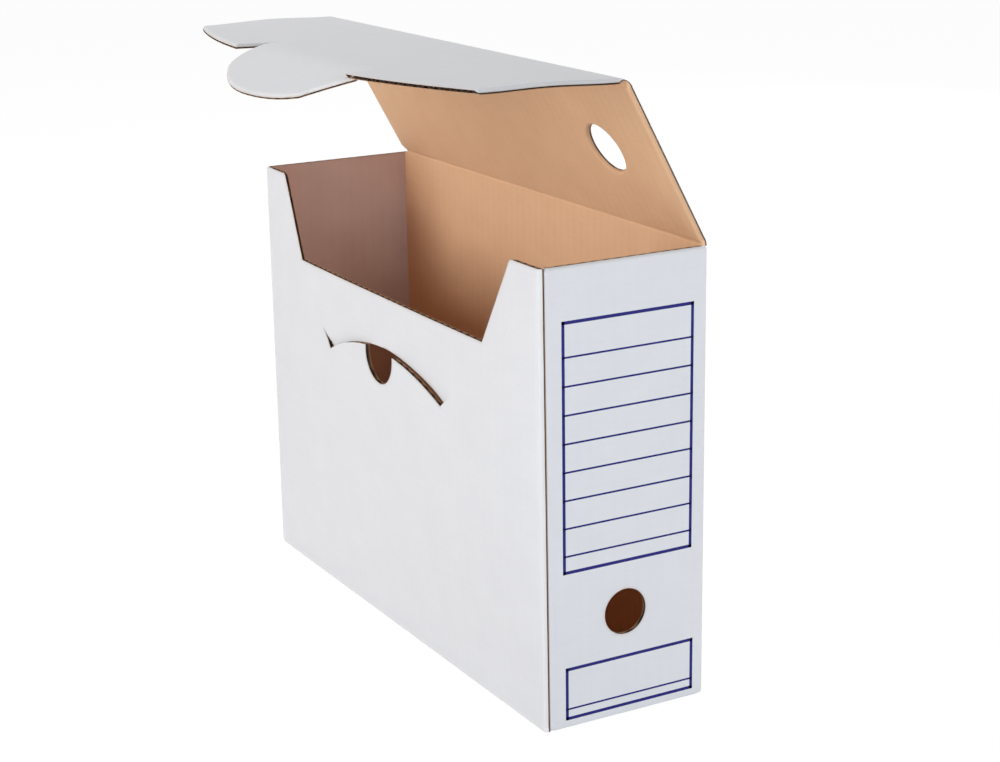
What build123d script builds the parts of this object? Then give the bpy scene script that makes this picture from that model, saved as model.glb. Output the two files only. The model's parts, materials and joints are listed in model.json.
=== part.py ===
from build123d import *
import math
import os

# Archive box of single-wall corrugated board, standing open. Millimetres.
# The origin is on the table under the middle of the box. X runs along the long walls, with the
# spine at +X. Y runs from the front wall to the back wall, which carries the lid. Z is up.
# The blank is parted at its creases into panels, and each panel into its three plies.

# Board
board_thickness = 3.0
liner_thickness = 0.3
medium_thickness = 0.25
paste_film = 0.02
flute_pitch = 6.5

# Box, outside
box_length = 361.0
box_depth = 105.0
box_height = 265.0

# Room for what turns, and how far cutting tools run past the board
hinge_clearance = 0.3
cut_overrun = 5.0

# Access notch in the front wall, between an ear at each end
ear_top_width = 30.5
ear_foot_width = 59.0
notch_depth = 52.0
ear_corner_radius = 4.0

# Lock slit in the front wall, an arch with a short slanted cut at each end
slit_chord = 150.0
slit_rise = 17.0
slit_end_depth = 100.4
slit_kerf = 1.2
slit_end_cut_run = 12.0
slit_end_cut_rise = 10.0

# Thumb cut-out under the arch
thumb_width = 36.0
thumb_depth = 21.5

# Finger hole in the spine
spine_hole_diameter = 27.0
spine_hole_height = 62.0

# Glue flap of the spine, behind the front wall
glue_flap_width = 30.0
glue_flap_end_gap = 14.0
glue_flap_taper = 8.0
seam_glue_film = 0.1
seam_glue_width = 18.0
seam_glue_end_gap = 26.0

# Bottom flaps
bottom_meeting_gap = 0.4
bottom_end_flap_length = 48.0
bottom_flap_taper = 5.0
bottom_glue_film = 0.1
bottom_glue_length = 30.0
bottom_glue_width = 26.0

# Lid panel
lid_end_inset = 0.5
lid_open_angle = 61.4
lid_corner_relief = 4.0
lid_hole_diameter = 31.0
lid_hole_from_end = 59.0

# Front flap of the lid
flap_wall_clearance = 0.3
flap_fold_angle = 61.4
flap_corner_depth = 93.0
flap_shoulder_depth = 113.0
flap_shoulder_bow = 3.4
lock_notch_root_gap = 1.5
lock_notch_mouth_gap = 5.0

# Lock tongue
tongue_bend_angle = 20.0
tongue_crease_depth = 97.5
tongue_width = 144.0
tongue_length = 46.0
tongue_side_length = 8.0
tongue_corner_radius = 26.0

# Places that follow from the sizes above
half_board = board_thickness / 2
half_length = box_length / 2
half_depth = box_depth / 2
core_height = board_thickness - 2 * (liner_thickness + paste_film)
inner_half_length = half_length - board_thickness
inner_half_depth = half_depth - board_thickness
seam_inner_y = -inner_half_depth + seam_glue_film + board_thickness
end_wall_foot = 2 * board_thickness + bottom_glue_film
lid_half_length = half_length - lid_end_inset
panel_start = half_board + hinge_clearance
lid_hinge = Vector(0, half_depth - half_board, box_height + hinge_clearance + half_board)
lid_reach = box_depth + flap_wall_clearance

os.makedirs("parts", exist_ok=True)


def save(name, solid):
    """Writes one node."""
    export_step(solid, f"parts/{name}.step")


def outline(*points):
    """Flat face inside straight edges through the points."""
    return make_face(Polyline(*points, close=True))


def rectangle(left, bottom, right, top):
    """Flat rectangle between two corners."""
    return outline((left, bottom), (right, bottom), (right, top), (left, top))


def fluted_medium(left, right, low, high):
    """Fluted sheet whose flutes run along Y, with a crest at each side.

    The flutes' slope leaves the sheet its full thickness, measured square to its faces.
    """
    width = right - left
    count = max(1, round(width / flute_pitch))
    pitch = width / count
    rise = core_height
    run = pitch / 2
    reach = math.sqrt(rise**2 + run**2 - medium_thickness**2)
    slope = (rise * run - medium_thickness * reach) / (run**2 - medium_thickness**2)
    upright = medium_thickness * math.sqrt(1 + slope**2)
    upper = [(left, rise / 2)]
    lower = [(left, rise / 2 - upright)]
    for index in range(count):
        trough = left + index * pitch + run
        crest = left + (index + 1) * pitch
        upper += [(trough, upright - rise / 2), (crest, rise / 2)]
        lower += [(trough, -rise / 2), (crest, rise / 2 - upright)]
    profile = Plane((0, low, 0), x_dir=(1, 0, 0), z_dir=(0, -1, 0)) * outline(*upper, *reversed(lower))
    return extrude(profile, low - high)


def save_panel(name, plane, shape, trimmed):
    """Writes a panel's three plies.

    The plane lies at half the board's thickness, with its Y along the flutes and its Z out of the
    white side. A trimmed panel's medium is cut to the outline, and any other is a plain rectangle.
    """
    liner = extrude(shape, liner_thickness)
    box = shape.bounding_box()
    if trimmed:
        sheet = fluted_medium(
            box.min.X - flute_pitch, box.max.X + flute_pitch, box.min.Y - cut_overrun, box.max.Y + cut_overrun
        )
        medium = sheet & extrude(shape, board_thickness, both=True)
    else:
        medium = fluted_medium(box.min.X, box.max.X, box.min.Y, box.max.Y)
    save(f"{name}_outer_liner", plane * Pos(0, 0, half_board - liner_thickness) * liner)
    save(f"{name}_fluting", plane * medium)
    save(f"{name}_inner_liner", plane * Pos(0, 0, -half_board) * liner)


def square_fold(plane, run, drop, length):
    """Crushed board that fills a square fold: a quarter round between two panel ends.

    Its round is run wide along the plane's X and drop deep along its Y.
    """
    rim = EllipticalCenterArc((0, 0), run, drop, arc_size=90)
    edges = [Line((0, 0), (run, 0)), rim, Line((0, drop), (0, 0))]
    return extrude(plane * make_face(edges), length)


def turning_fold(plane, start, axis, length):
    """Crushed border of a panel, from its end at start to a round nose about the fold's axis."""
    nose = ThreePointArc((axis, -half_board), (axis + half_board, 0), (axis, half_board))
    edges = [
        Line((start, -half_board), (axis, -half_board)),
        nose,
        Line((axis, half_board), (start, half_board)),
        Line((start, half_board), (start, -half_board)),
    ]
    return plane * extrude(Plane.YZ * make_face(edges), length / 2, both=True)


def lid_plane(origin, angle):
    """Plane of a lid panel that leaves its fold towards the front, at this angle over the horizontal."""
    rise = math.radians(angle)
    return Plane(origin, x_dir=(-1, 0, 0), z_dir=(0, math.sin(rise), math.cos(rise)))


def thick_line(start, end, width):
    """Thin straight cut from start to end, half a width longer at its start."""
    run = Vector(end) - Vector(start)
    along = run.normalized() * (width / 2)
    side = Vector(-along.Y, along.X)
    tail = Vector(start) - along
    return outline(tail + side, tail - side, Vector(end) - side, Vector(end) + side)


def lock_slit():
    """Arched slit, its two end cuts and the thumb cut-out, in the front wall's plane."""
    half_chord = slit_chord / 2
    foot = box_height - slit_end_depth
    radius = half_chord**2 / (2 * slit_rise) + slit_rise / 2
    centre = foot + slit_rise - radius
    spread = math.degrees(math.asin(half_chord / radius))
    upper = CenterArc((0, centre), radius + slit_kerf / 2, 90 - spread, 2 * spread)
    lower = CenterArc((0, centre), radius - slit_kerf / 2, 90 - spread, 2 * spread)
    cut = make_face([upper, lower, Line(upper @ 0, lower @ 0), Line(upper @ 1, lower @ 1)])
    for side in (-1, 1):
        start = (side * half_chord, foot)
        end = (side * (half_chord + slit_end_cut_run), foot + slit_end_cut_rise)
        cut += thick_line(start, end, slit_kerf)
    round_height = foot + slit_rise - thumb_depth + thumb_width / 2
    thumb = Pos(0, round_height) * Circle(thumb_width / 2)
    thumb += rectangle(-thumb_width / 2, round_height, thumb_width / 2, box_height)
    return cut + (thumb & Pos(0, centre) * Circle(radius))


def front_wall_shape():
    """Front wall with the access notch between its ears, the lock slit and the thumb cut-out."""
    half_top = half_length - ear_top_width
    half_bottom = half_length - ear_foot_width
    notch_foot = box_height - notch_depth
    wall = outline(
        (-inner_half_length, board_thickness),
        (half_length, board_thickness),
        (half_length, box_height),
        (half_top, box_height),
        (half_bottom, notch_foot),
        (-half_bottom, notch_foot),
        (-half_top, box_height),
        (-inner_half_length, box_height),
    )
    ears = wall.vertices().sort_by(Axis.Y)[-4:].sort_by(Axis.X)[1:3]
    return fillet(ears, ear_corner_radius) - lock_slit()


def tapered_flap(half_width, root, tip, taper):
    """Flap outline that narrows from its root to its tip."""
    tip_half = half_width - taper
    return outline((-half_width, root), (half_width, root), (tip_half, tip), (-tip_half, tip))


def front_flap_shape():
    """Lid's front flap: straight sides, bowed shoulders, and a notch each side of the tongue."""
    root_half = tongue_width / 2 + lock_notch_root_gap
    mouth_half = tongue_width / 2 + lock_notch_mouth_gap
    notch_root = tongue_crease_depth - half_board
    edges = [Line((-lid_half_length, panel_start), (lid_half_length, panel_start))]
    for side in (-1, 1):
        corner = Vector(side * lid_half_length, flap_corner_depth)
        mouth = Vector(side * mouth_half, flap_shoulder_depth)
        chord = mouth - corner
        bow = Vector(-chord.Y, chord.X).normalized() * (-side * flap_shoulder_bow)
        edges.append(Line((side * lid_half_length, panel_start), corner))
        edges.append(ThreePointArc(corner, (corner + mouth) / 2 + bow, mouth))
        edges.append(Line(mouth, (side * root_half, notch_root)))
    edges.append(Line((-root_half, notch_root), (root_half, notch_root)))
    return make_face(edges)


def tongue_shape():
    """Lock tongue: short straight sides under a three-centred arch, its wide tip tangent to the corners."""
    half_width = tongue_width / 2
    round_x = half_width - tongue_corner_radius
    rise = tongue_length - tongue_side_length
    tip_radius = (round_x**2 + rise**2 - tongue_corner_radius**2) / (2 * (rise - tongue_corner_radius))
    tip_centre = tongue_length - tip_radius
    lean = math.degrees(math.atan2(round_x, tongue_side_length - tip_centre))
    edges = [Line((-half_width, panel_start), (half_width, panel_start))]
    for side, start_angle in ((-1, 90 + lean), (1, 0)):
        foot = (side * half_width, tongue_side_length)
        centre = (side * round_x, tongue_side_length)
        edges.append(Line((side * half_width, panel_start), foot))
        edges.append(CenterArc(centre, tongue_corner_radius, start_angle, 90 - lean))
    edges.append(CenterArc((0, tip_centre), tip_radius, 90 - lean, 2 * lean))
    return make_face(edges)


# Walls
front_plane = Plane((0, half_board - half_depth, 0), x_dir=(1, 0, 0), z_dir=(0, -1, 0))
back_plane = Plane((0, half_depth - half_board, 0), x_dir=(-1, 0, 0), z_dir=(0, 1, 0))
spine_plane = Plane((half_length - half_board, 0, 0), x_dir=(0, 1, 0), z_dir=(1, 0, 0))
end_plane = Plane((half_board - half_length, 0, 0), x_dir=(0, -1, 0), z_dir=(-1, 0, 0))
back_shape = rectangle(-inner_half_length, board_thickness, inner_half_length, box_height)
end_shape = rectangle(-inner_half_depth, end_wall_foot, inner_half_depth, box_height)
spine_shape = rectangle(seam_inner_y, end_wall_foot, inner_half_depth, box_height)
spine_shape -= Pos(0, spine_hole_height) * Circle(spine_hole_diameter / 2)
save_panel("front_wall", front_plane, front_wall_shape(), trimmed=True)
save_panel("back_wall", back_plane, back_shape, trimmed=False)
save_panel("spine_wall", spine_plane, spine_shape, trimmed=True)
save_panel("end_wall", end_plane, end_shape, trimmed=False)

# Glue flap and its seam
glue_plane = front_plane.offset(-(board_thickness + seam_glue_film))
glue_low = end_wall_foot + glue_flap_end_gap
glue_high = box_height - glue_flap_end_gap
glue_left = inner_half_length - glue_flap_width
glue_shape = outline(
    (inner_half_length, glue_low),
    (inner_half_length, glue_high),
    (glue_left, glue_high - glue_flap_taper),
    (glue_left, glue_low + glue_flap_taper),
)
save_panel("glue_flap", glue_plane, glue_shape, trimmed=True)
seam_middle = inner_half_length - glue_flap_width / 2
seam_shape = rectangle(
    seam_middle - seam_glue_width / 2,
    end_wall_foot + seam_glue_end_gap,
    seam_middle + seam_glue_width / 2,
    box_height - seam_glue_end_gap,
)
seam_plane = front_plane.offset(-(half_board + seam_glue_film))
save("seam_glue_strip", seam_plane * extrude(seam_shape, seam_glue_film))

# Corner folds, from above the bottom folds to the walls' tops
corner_height = box_height - end_wall_foot
corner_folds = {
    "front_end": ((-inner_half_length, -inner_half_depth), (-1, 0, 0)),
    "back_end": ((-inner_half_length, inner_half_depth), (0, 1, 0)),
    "back_spine": ((inner_half_length, inner_half_depth), (1, 0, 0)),
    "glue_flap": ((inner_half_length, seam_inner_y), (0, -1, 0)),
}
for name, ((x, y), start) in corner_folds.items():
    plane = Plane((x, y, end_wall_foot), x_dir=start, z_dir=(0, 0, 1))
    save(f"corner_crease_{name}", square_fold(plane, board_thickness, board_thickness, corner_height))

# Bottom flaps, the long pair under the end pair, with glue between them
long_half = inner_half_length - hinge_clearance
long_flap = tapered_flap(long_half, -inner_half_depth, -bottom_meeting_gap / 2, bottom_flap_taper)
short_half = inner_half_depth - hinge_clearance
short_tip = bottom_end_flap_length - inner_half_length
short_flap = tapered_flap(short_half, -inner_half_length, short_tip, bottom_flap_taper)
long_level = (0, 0, half_board)
short_level = (0, 0, end_wall_foot - half_board)
down = (0, 0, -1)
save_panel("bottom_front_flap", Plane(long_level, x_dir=(-1, 0, 0), z_dir=down), long_flap, trimmed=True)
save_panel("bottom_back_flap", Plane(long_level, x_dir=(1, 0, 0), z_dir=down), long_flap, trimmed=True)
save_panel("bottom_spine_flap", Plane(short_level, x_dir=(0, -1, 0), z_dir=down), short_flap, trimmed=True)
save_panel("bottom_end_flap", Plane(short_level, x_dir=(0, 1, 0), z_dir=down), short_flap, trimmed=True)
glue_spot = Box(bottom_glue_length, bottom_glue_width, bottom_glue_film)
glue_x = inner_half_length - bottom_end_flap_length / 2
glue_z = board_thickness + bottom_glue_film / 2
glue_y = half_depth / 2
glue_places = [(-glue_x, -glue_y), (-glue_x, glue_y), (glue_x, -glue_y), (glue_x, glue_y)]
glue_spots = [Pos(x, y, glue_z) * glue_spot for x, y in glue_places]
save("bottom_glue_strips", Compound(children=glue_spots))

# Bottom folds, the end pair drawn down to the table past the long flaps' ends
front_fold = Plane(
    (-inner_half_length, -inner_half_depth, board_thickness), x_dir=(0, -1, 0), z_dir=(1, 0, 0)
)
back_fold = Plane((-inner_half_length, inner_half_depth, board_thickness), x_dir=down, z_dir=(1, 0, 0))
spine_fold = Plane((inner_half_length, seam_inner_y, end_wall_foot), x_dir=(1, 0, 0), z_dir=(0, 1, 0))
end_fold = Plane((-inner_half_length, inner_half_depth, end_wall_foot), x_dir=(-1, 0, 0), z_dir=(0, -1, 0))
bottom_folds = {
    "front": (front_fold, board_thickness, inner_half_length + half_length),
    "back": (back_fold, board_thickness, 2 * inner_half_length),
    "spine": (spine_fold, end_wall_foot, inner_half_depth - seam_inner_y),
    "end": (end_fold, end_wall_foot, 2 * inner_half_depth),
}
for name, (plane, drop, length) in bottom_folds.items():
    save(f"bottom_crease_{name}", square_fold(plane, board_thickness, drop, length))

# Lid panel, on the fold along the back wall's top
lid = lid_plane(lid_hinge, lid_open_angle)
lid_end = lid_reach - half_board
lid_shape = outline(
    (lid_corner_relief - lid_half_length, panel_start),
    (lid_half_length - lid_corner_relief, panel_start),
    (lid_half_length, panel_start + lid_corner_relief),
    (lid_half_length, lid_end),
    (-lid_half_length, lid_end),
    (-lid_half_length, panel_start + lid_corner_relief),
)
lid_shape -= Pos(lid_hole_from_end - lid_half_length, lid_reach / 2) * Circle(lid_hole_diameter / 2)
save_panel("lid_top", lid, lid_shape, trimmed=True)
save("lid_hinge_crease", turning_fold(back_plane, box_height, lid_hinge.Z, 2 * lid_half_length))

# Front flap, on the fold along the lid's outer edge
flap_angle = lid_open_angle - flap_fold_angle
flap = lid_plane(lid.origin + lid.y_dir * lid_reach, flap_angle)
save_panel("lid_front_flap", flap, front_flap_shape(), trimmed=True)
save("lid_flap_crease", turning_fold(lid, lid_end, lid_reach, 2 * lid_half_length))

# Lock tongue, on the fold between the flap's notches
tongue = lid_plane(flap.origin + flap.y_dir * tongue_crease_depth, flap_angle - tongue_bend_angle)
save_panel("lock_tongue", tongue, tongue_shape(), trimmed=True)
tongue_fold_start = tongue_crease_depth - half_board
save("lock_tongue_crease", turning_fold(flap, tongue_fold_start, tongue_crease_depth, tongue_width))
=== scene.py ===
"""Archive box of single-wall corrugated board, standing open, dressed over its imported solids.

Sizes are millimetres until a mesh is written, which is in metres. X runs along the long walls with
the spine at +X, Y from the front wall to the back wall, Z up from the table.
"""
import json
import logging
import math
from dataclasses import dataclass, replace
from enum import Enum
from functools import partial
from typing import Any, Callable, Sequence

import bpy
import numpy as np
from mathutils import Matrix, Vector, geometry

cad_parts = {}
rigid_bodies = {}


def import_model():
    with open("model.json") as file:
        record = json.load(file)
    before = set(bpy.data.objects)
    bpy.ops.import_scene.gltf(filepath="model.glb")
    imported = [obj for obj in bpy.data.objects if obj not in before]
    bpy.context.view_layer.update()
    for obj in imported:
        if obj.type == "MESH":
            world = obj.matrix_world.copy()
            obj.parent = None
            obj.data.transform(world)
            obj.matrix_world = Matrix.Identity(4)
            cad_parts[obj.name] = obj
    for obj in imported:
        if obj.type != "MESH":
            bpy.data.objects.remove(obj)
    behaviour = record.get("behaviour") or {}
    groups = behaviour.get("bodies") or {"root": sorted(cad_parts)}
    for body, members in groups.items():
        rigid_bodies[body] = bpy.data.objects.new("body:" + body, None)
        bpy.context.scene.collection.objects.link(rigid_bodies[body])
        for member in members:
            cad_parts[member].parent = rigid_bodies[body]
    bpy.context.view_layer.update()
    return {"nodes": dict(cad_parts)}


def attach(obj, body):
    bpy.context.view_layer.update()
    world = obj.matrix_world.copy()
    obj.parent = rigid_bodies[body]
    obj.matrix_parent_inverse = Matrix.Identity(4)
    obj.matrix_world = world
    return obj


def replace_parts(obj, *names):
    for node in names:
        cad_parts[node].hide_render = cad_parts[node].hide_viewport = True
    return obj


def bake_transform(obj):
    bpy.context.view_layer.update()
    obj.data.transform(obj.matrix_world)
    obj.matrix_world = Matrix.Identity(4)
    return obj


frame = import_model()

MM = 0.001
LOG = logging.getLogger("archive_box")
Points = np.ndarray
Place = tuple[float, float, float]
Warp = Callable[[Points, Points], Points]

# The sRGB curve, and plain light.
SRGB_KNEE, SRGB_SLOPE, SRGB_OFFSET, SRGB_POWER = 0.04045, 12.92, 0.055, 2.4
BLACK, WHITE = (0.0, 0.0, 0.0, 1.0), (1.0, 1.0, 1.0, 1.0)
# Blender's names for the nodes that come up often.
MATH, NOISE, MIX, RANGE = "ShaderNodeMath", "ShaderNodeTexNoise", "ShaderNodeMix", "ShaderNodeMapRange"
# A Mix node's colour sockets: two that go in and the one that comes out.
FIRST, SECOND, MIXED = 6, 7, 2
TURN = 2 * math.pi
# How finely arcs are divided, how many points are weighed at once, and what counts as nothing: the
# first three in millimetres, the weld in metres.
LEAST_ARC_POINTS = 4
POINTS_AT_ONCE = 2000
GRID_TOLERANCE, FILL_TOLERANCE, LEAST_LENGTH, WELD = 1e-3, 1e-4, 1e-6, 1e-7


@dataclass(frozen=True)
class Stock:
    """Single-wall board that the blank is cut from, and how finely its sheets are divided."""

    thickness: float = 3.0
    liner: float = 0.3
    medium: float = 0.25
    flute_pitch: float = 7.6
    steps_per_flute: int = 10
    edge_reach: float = 0.8
    pinch_reach: float = 1.2
    rub_reach: float = 0.7
    edge_rows: tuple[float, ...] = (0.3, 0.6, 1.0, 1.5, 2.4)
    least_gap: float = 0.2
    cut_step: float = 2.0
    side_step: float = 3.0
    crease_step: float = 6.0
    hole_step: float = 1.0
    round_step: float = 0.6
    sharp_angle: float = 60.0
    flute_sharp_angle: float = 50.0
    fold_squareness: float = 9

    @property
    def half(self) -> float:
        """Half the board's thickness."""
        return self.thickness / 2


STOCK = Stock()


# ---------------------------------------------------------------- finishes


def linear(colour: str) -> tuple[float, float, float, float]:
    """Turns an sRGB hex colour to linear values.

    Args:
        colour: Six hex digits after a hash sign.

    Returns:
        Red, green and blue as linear values, and full alpha.
    """
    parts = np.array([int(colour[i : i + 2], 16) / 255 for i in (1, 3, 5)])
    curve = ((parts + SRGB_OFFSET) / (1 + SRGB_OFFSET)) ** SRGB_POWER
    return (*np.where(parts <= SRGB_KNEE, parts / SRGB_SLOPE, curve).tolist(), 1.0)


def add_node(tree: Any, kind: str, inputs: dict[Any, Any] | None = None, **settings: Any) -> Any:
    """Adds a node with its settings, values and links.

    Args:
        tree: Shader or geometry tree.
        kind: Blender's name for the node type.
        inputs: Socket names or numbers, each with a value or with the output socket that feeds it.
        settings: Properties of the node.

    Returns:
        The new node.
    """
    node = tree.nodes.new(kind)
    for key, value in settings.items():
        setattr(node, key, value)
    for key, value in (inputs or {}).items():
        if isinstance(value, bpy.types.NodeSocket):
            tree.links.new(value, node.inputs[key])
        else:
            node.inputs[key].default_value = value
    return node


def clear_tree(owner: Any) -> Any:
    """Empties a node tree.

    Args:
        owner: Material or world.

    Returns:
        Its tree.
    """
    owner.use_nodes = True
    owner.node_tree.nodes.clear()
    return owner.node_tree


def close_surface(tree: Any, colour: Any, roughness: Any, relief: Any, shine: float) -> None:
    """Joins a material's patterns in one surface.

    Args:
        tree: The material's tree.
        colour: Socket with the colour.
        roughness: Number or socket.
        relief: Socket with the height in millimetres.
        shine: Strength of its reflection.
    """
    bump = add_node(tree, "ShaderNodeBump", {"Height": relief, "Distance": MM}).outputs[0]
    inputs = {"Base Color": colour, "Roughness": roughness, "Specular IOR Level": shine, "Normal": bump}
    surface = add_node(tree, "ShaderNodeBsdfPrincipled", inputs).outputs[0]
    add_node(tree, "ShaderNodeOutputMaterial", {"Surface": surface})


@dataclass(frozen=True)
class LinerFinish:
    """Paper liner of corrugated board.

    The eye sees a matt sheet with cloudy fibre, fine streaks along the paper's making, a few stray
    fibres, faint ridges where the flutes are glued behind it, and rubbed, darker cut edges. The grain
    is drawn coarser than real fibre, so that it shows.
    """

    name: str
    pale: str
    deep: str
    rubbed: str
    roughness: float
    gloss_spread: float = 0.06
    shine: float = 0.35
    cloud: float = 24.0
    cloud_detail: float = 4.0
    streak_length: float = 30.0
    streak_width: float = 1.4
    streak_detail: float = 5.0
    streak_share: float = 0.05
    fleck_spacing: float = 7.0
    fleck_core: float = 0.03
    fleck_rim: float = 0.07
    fleck_share: float = 0.1
    flute_share: float = 0.03
    flute_relief: float = 0.03
    flute_narrowing: float = 3.0
    grain: float = 0.9
    grain_detail: float = 3.0
    grain_relief: float = 0.012

    def build(self) -> bpy.types.Material:
        """Makes the material, whose patterns follow the board's own map in metres."""
        material = bpy.data.materials.new(self.name)
        tree = clear_tree(material)
        board = add_node(tree, "ShaderNodeUVMap", uv_map="board").outputs[0]
        inputs = {"Vector": board, "Scale": 1 / (self.cloud * MM), "Detail": self.cloud_detail}
        cloud = add_node(tree, NOISE, inputs).outputs[0]
        inputs = {"Factor": cloud, FIRST: linear(self.deep), SECOND: linear(self.pale)}
        tone = add_node(tree, MIX, inputs, data_type="RGBA").outputs[MIXED]
        scale = (1 / (self.streak_length * MM), 1 / (self.streak_width * MM), 1.0)
        stretched = add_node(tree, "ShaderNodeMapping", {"Vector": board, "Scale": scale}).outputs[0]
        inputs = {"Vector": stretched, "Scale": 1.0, "Detail": self.streak_detail}
        streak = add_node(tree, NOISE, inputs).outputs[0]
        across = add_node(tree, "ShaderNodeSeparateXYZ", {0: board}).outputs[0]
        inputs = {0: across, 1: TURN / (STOCK.flute_pitch * MM)}
        turn = add_node(tree, MATH, inputs, operation="MULTIPLY").outputs[0]
        wave = add_node(tree, MATH, {0: turn}, operation="COSINE").outputs[0]
        swell = add_node(tree, RANGE, {0: wave, 1: -1.0, 2: 1.0}).outputs[0]
        ridge = add_node(tree, MATH, {0: swell, 1: self.flute_narrowing}, operation="POWER").outputs[0]
        inputs = {"Vector": board, "Scale": 1 / (self.fleck_spacing * MM)}
        spot = add_node(tree, "ShaderNodeTexVoronoi", inputs).outputs["Distance"]
        inputs = {0: spot, 1: self.fleck_core, 2: self.fleck_rim, 3: self.fleck_share, 4: 0.0}
        fleck = add_node(tree, RANGE, inputs).outputs[0]
        inputs = {0: ridge, 1: self.flute_share, 2: fleck}
        marks = add_node(tree, MATH, inputs, operation="MULTIPLY_ADD").outputs[0]
        inputs = {0: streak, 1: self.streak_share, 2: marks}
        dark = add_node(tree, MATH, inputs, operation="MULTIPLY_ADD").outputs[0]
        inputs = {"Factor": dark, FIRST: tone, SECOND: BLACK}
        fibre = add_node(tree, MIX, inputs, data_type="RGBA").outputs[MIXED]
        rim = add_node(tree, "ShaderNodeAttribute", attribute_name="rim").outputs["Fac"]
        worn = add_node(tree, MATH, {0: rim, 1: cloud}, operation="MULTIPLY").outputs[0]
        inputs = {"Factor": worn, FIRST: fibre, SECOND: linear(self.rubbed)}
        coat = add_node(tree, MIX, inputs, data_type="RGBA").outputs[MIXED]
        inputs = {0: cloud, 3: self.roughness - self.gloss_spread, 4: self.roughness + self.gloss_spread}
        gloss = add_node(tree, RANGE, inputs).outputs[0]
        inputs = {"Vector": board, "Scale": 1 / (self.grain * MM), "Detail": self.grain_detail}
        grain = add_node(tree, NOISE, inputs).outputs[0]
        rise = add_node(tree, MATH, {0: grain, 1: self.grain_relief}, operation="MULTIPLY").outputs[0]
        inputs = {0: ridge, 1: self.flute_relief, 2: rise}
        relief = add_node(tree, MATH, inputs, operation="MULTIPLY_ADD").outputs[0]
        close_surface(tree, coat, gloss, relief, self.shine)
        return material


@dataclass(frozen=True)
class PulpFinish:
    """Uncoated inside of the board: fluting, crushed folds, ink or glue, with a fine uneven tone."""

    name: str
    pale: str
    deep: str
    roughness: float
    shine: float = 0.3
    grain: float = 1.6
    detail: float = 4.0
    relief: float = 0.02

    def build(self) -> bpy.types.Material:
        """Makes the material, whose grain follows Object coordinates."""
        material = bpy.data.materials.new(self.name)
        tree = clear_tree(material)
        place = add_node(tree, "ShaderNodeTexCoord").outputs["Object"]
        inputs = {"Vector": place, "Scale": 1 / (self.grain * MM), "Detail": self.detail}
        grain = add_node(tree, NOISE, inputs).outputs[0]
        inputs = {"Factor": grain, FIRST: linear(self.deep), SECOND: linear(self.pale)}
        tone = add_node(tree, MIX, inputs, data_type="RGBA").outputs[MIXED]
        rise = add_node(tree, MATH, {0: grain, 1: self.relief}, operation="MULTIPLY").outputs[0]
        close_surface(tree, tone, self.roughness, rise, self.shine)
        return material


# Bleached top liner: an even cool white that hides most of the flutes.
WHITE_LINER = LinerFinish(
    "white_top_liner",
    pale="#EAEAEC",
    deep="#E3E3E6",
    rubbed="#B9A796",
    roughness=0.6,
    flute_share=0.006,
    flute_relief=0.006,
)
# Unbleached kraft: warm tan, streaky, with dark stray fibres and the flutes showing through.
KRAFT_LINER = LinerFinish(
    "unbleached_kraft_liner",
    pale="#EFC49D",
    deep="#E2B58D",
    rubbed="#8E6648",
    roughness=0.72,
    streak_share=0.07,
    fleck_share=0.22,
    flute_share=0.018,
    flute_relief=0.012,
)


class Finish(Enum):
    """The box's finishes, each with the record's slot that it belongs to."""

    WHITE = ("white_liner", WHITE_LINER)
    KRAFT = ("kraft_liner", KRAFT_LINER)
    # A greyer, cooler copy of the same kraft for the end wall's inside: painted shade, standing in for the
    # cool shade that wall stands in.
    SHADED_KRAFT = (
        "kraft_liner",
        replace(KRAFT_LINER, name="kraft_liner_painted_cool_shade", pale="#D2B8B0", deep="#C5A9A0"),
    )
    # A browner, darker copy of the same kraft for the bottom flaps' inside: painted shade, standing in for
    # the shade deep in the box.
    SHADED_BOTTOM_KRAFT = (
        "kraft_liner",
        replace(KRAFT_LINER, name="kraft_liner_painted_bottom_shade", pale="#A8764F", deep="#976843"),
    )
    # Fluting shows dark and dull at the cut edges, and board crushed in a crease a lighter brown.
    MEDIUM = ("fluting_medium", PulpFinish("fluting_paper", "#6E5444", "#4E3A30", 0.85))
    CRUSHED = ("crushed_crease", PulpFinish("crushed_board", "#957056", "#765743", 0.85))
    # Ink dries to a thin film, glossier than the paper, and glue to a pale one with a slight shine.
    INK = (None, PulpFinish("flexographic_ink", "#211F7C", "#1A186C", 0.55, grain=0.7, relief=0.004))
    GLUE = ("dried_glue", PulpFinish("dried_dispersion_glue", "#CDBB98", "#B9A680", 0.4))

    @property
    def slot(self) -> str | None:
        """Record's material slot."""
        return self.value[0]

    @property
    def material(self) -> bpy.types.Material:
        """Material, made at its first use."""
        style = self.value[1]
        return bpy.data.materials.get(style.name) or style.build()


# ---------------------------------------------------------------- sheets and meshes


class Edge(Enum):
    """How a run of a panel's edge was made.

    Each kind has the shares of the thickness lost at the white and at the kraft face, and how far in
    from the edge the loss reaches.
    """

    CREASE = (0.0, 0.0, STOCK.edge_reach)
    CUT = (0.05, 0.05, STOCK.edge_reach)
    TRIMMED = (0.2, 0.14, STOCK.edge_reach)
    PRESSED = (0.3, 0.05, STOCK.edge_reach)
    PINCHED = (0.62, 0.05, STOCK.pinch_reach)
    ROLLED = (0.6, 0.02, STOCK.edge_reach)
    TURNED = (0.02, 0.66, STOCK.edge_reach)


def fade(gap: Points, reach: Any) -> Points:
    """Share of an effect that is left at each distance, about a third of it at its reach."""
    return np.exp(-((gap / reach) ** 2))


def ease(value: Points, start: float, end: float) -> Points:
    """Soft step from nought at the start to one at the end."""
    share = np.clip((value - start) / (end - start), 0, 1)
    return share**2 * (3 - 2 * share)


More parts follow.
